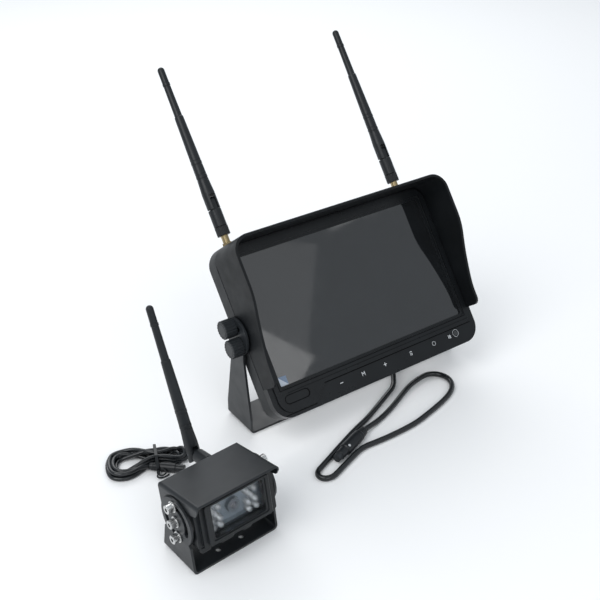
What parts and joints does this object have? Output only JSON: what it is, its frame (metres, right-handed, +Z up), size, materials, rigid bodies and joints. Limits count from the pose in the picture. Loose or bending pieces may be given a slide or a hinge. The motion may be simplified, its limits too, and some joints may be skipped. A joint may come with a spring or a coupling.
{
  "type": "wireless backup camera kit",
  "caption": "Wireless backup camera kit: wide monitor with visor, tilting U-bracket and two antennas, plus a hooded infrared camera on its own bracket, with cords.",
  "frame": {"origin": "centre of the monitor bracket's base, on its underside", "axes": "+Z up from the mounting surface, +X to the monitor's right seen by the driver, the screen faces -Y"},
  "size_m": [0.3701, 0.2875, 0.2742],
  "materials": {
    "bracket_black": "satin",
    "case_plastic": "satin",
    "bezel_plastic": "satin",
    "screen_gloss": "gloss",
    "panel_grey": "matte",
    "bright_steel": "satin",
    "board_green": "satin",
    "board_grey": "satin",
    "speaker_black": "matte",
    "brass": "satin",
    "washer_rubber": "matte",
    "cord_rubber": "matte",
    "cord_jacket": "satin",
    "connector_black": "satin",
    "tie_black": "satin",
    "knob_plastic": "satin",
    "antenna_black": "satin",
    "camera_black": "satin",
    "hood_black": "satin",
    "clear_glass": "gloss",
    "led_clear": "gloss",
    "lens_black": "gloss"
  },
  "bodies": {
    "monitor_bracket": {"monitor_bracket": "bracket_black", "pigtail_slack": "cord_jacket", "pigtail_lead": "cord_jacket", "pigtail_connector": "connector_black", "pigtail_tip": "connector_black"},
    "monitor": {"rear_shell": "case_plastic", "front_bezel": "bezel_plastic", "screen_window": "screen_gloss", "lcd_panel": "panel_grey", "panel_frame": "bright_steel", "main_board": "board_green", "speaker": "speaker_black", "touch_board": "board_green", "ir_window": "screen_gloss", "case_screws": "bright_steel", "knob_inserts": "brass", "arm_washers": "washer_rubber", "antenna_sockets": "brass", "pigtail_gland": "cord_rubber", "visor": "case_plastic"},
    "camera_bracket": {"camera_bracket": "bracket_black", "camera_lead_slack": "cord_jacket", "camera_lead_hank": "cord_jacket", "hank_tie": "tie_black", "camera_lead_connector": "connector_black"},
    "camera_head": {"camera_housing": "camera_black", "camera_front_frame": "camera_black", "camera_window": "clear_glass", "window_gasket": "cord_rubber", "led_board": "board_grey", "infrared_leds": "led_clear", "lens_barrel": "lens_black", "sensor_board": "board_green", "camera_rear_cover": "camera_black", "rear_cover_screws": "bright_steel", "camera_hood": "hood_black", "side_screws": "bright_steel", "side_washers": "bright_steel", "camera_antenna_socket": "brass", "camera_lead_gland": "cord_rubber"},
    "knob_left_lower": {"knob_left_lower": "knob_plastic", "stud_left_lower": "bright_steel"},
    "knob_left_upper": {"knob_left_upper": "knob_plastic", "stud_left_upper": "bright_steel"},
    "knob_right_lower": {"knob_right_lower": "knob_plastic", "stud_right_lower": "bright_steel"},
    "knob_right_upper": {"knob_right_upper": "knob_plastic", "stud_right_upper": "bright_steel"},
    "left_antenna_nut": {"left_antenna_nut": "antenna_black"},
    "left_antenna_knuckle": {"left_antenna_knuckle": "antenna_black", "left_antenna_pin": "antenna_black"},
    "left_antenna_whip": {"left_antenna_whip": "antenna_black"},
    "right_antenna_nut": {"right_antenna_nut": "antenna_black"},
    "right_antenna_knuckle": {"right_antenna_knuckle": "antenna_black", "right_antenna_pin": "antenna_black"},
    "right_antenna_whip": {"right_antenna_whip": "antenna_black"},
    "camera_antenna_nut": {"camera_antenna_nut": "antenna_black"},
    "camera_antenna_knuckle": {"camera_antenna_knuckle": "antenna_black", "camera_antenna_pin": "antenna_black"},
    "camera_antenna_whip": {"camera_antenna_whip": "antenna_black"}
  },
  "joints": [
    {"name": "monitor_tilt", "type": "hinge", "parent": "monitor_bracket", "child": "monitor", "pos_m": [0, 0, 0.0915], "axis": [1, 0, 0], "range_deg": [-6, 54], "deforming": ["pigtail_slack"]},
    {"name": "knob_left_lower_turn", "type": "hinge", "parent": "monitor", "child": "knob_left_lower", "pos_m": [-0.12, -0.00535, 0.08489], "axis": [1, 0, 0], "continuous": true},
    {"name": "knob_left_upper_turn", "type": "hinge", "parent": "monitor", "child": "knob_left_upper", "pos_m": [-0.12, 0.00535, 0.09811], "axis": [1, 0, 0], "continuous": true},
    {"name": "knob_right_lower_turn", "type": "hinge", "parent": "monitor", "child": "knob_right_lower", "pos_m": [0.12, -0.00535, 0.08489], "axis": [1, 0, 0], "continuous": true},
    {"name": "knob_right_upper_turn", "type": "hinge", "parent": "monitor", "child": "knob_right_upper", "pos_m": [0.12, 0.00535, 0.09811], "axis": [1, 0, 0], "continuous": true},
    {"name": "left_antenna_nut_turn", "type": "hinge", "parent": "monitor", "child": "left_antenna_nut", "pos_m": [-0.092, 0.05307, 0.15545], "axis": [0, 0.6293, 0.7771], "continuous": true},
    {"name": "left_antenna_swivel", "type": "hinge", "parent": "monitor", "child": "left_antenna_knuckle", "pos_m": [-0.092, 0.07202, 0.17884], "axis": [0, 0.6293, 0.7771], "continuous": true},
    {"name": "left_antenna_elbow", "type": "hinge", "parent": "left_antenna_knuckle", "child": "left_antenna_whip", "pos_m": [-0.092, 0.07202, 0.17884], "axis": [1, 0, 0], "range_deg": [-90, 0]},
    {"name": "right_antenna_nut_turn", "type": "hinge", "parent": "monitor", "child": "right_antenna_nut", "pos_m": [0.092, 0.05307, 0.15545], "axis": [0, 0.6293, 0.7771], "continuous": true},
    {"name": "right_antenna_swivel", "type": "hinge", "parent": "monitor", "child": "right_antenna_knuckle", "pos_m": [0.092, 0.07202, 0.17884], "axis": [0, 0.6293, 0.7771], "continuous": true},
    {"name": "right_antenna_elbow", "type": "hinge", "parent": "right_antenna_knuckle", "child": "right_antenna_whip", "pos_m": [0.092, 0.07202, 0.17884], "axis": [1, 0, 0], "range_deg": [-90, 0]},
    {"name": "camera_antenna_nut_turn", "type": "hinge", "parent": "camera_head", "child": "camera_antenna_nut", "pos_m": [-0.18717, -0.0816, 0.04563], "axis": [-0.077, 0.9786, -0.1908], "continuous": true},
    {"name": "camera_antenna_swivel", "type": "hinge", "parent": "camera_head", "child": "camera_antenna_knuckle", "pos_m": [-0.18949, -0.05214, 0.03988], "axis": [-0.077, 0.9786, -0.1908], "range_deg": [-100, 40]},
    {"name": "camera_antenna_elbow", "type": "hinge", "parent": "camera_antenna_knuckle", "child": "camera_antenna_whip", "pos_m": [-0.18949, -0.05214, 0.03988], "axis": [0.9969, 0.0785, 0], "range_deg": [-77, 13]},
    {"name": "camera_lift", "type": "slide", "parent": "monitor_bracket", "child": "camera_bracket", "axis": [0, 0, 1], "range_m": [0, 0.15]},
    {"name": "camera_tilt", "type": "hinge", "parent": "camera_bracket", "child": "camera_head", "pos_m": [-0.1992, -0.1072, 0.0392], "axis": [0.9969, 0.0785, 0], "range_deg": [-6, 110], "deforming": ["camera_lead_slack"]}
  ]
}
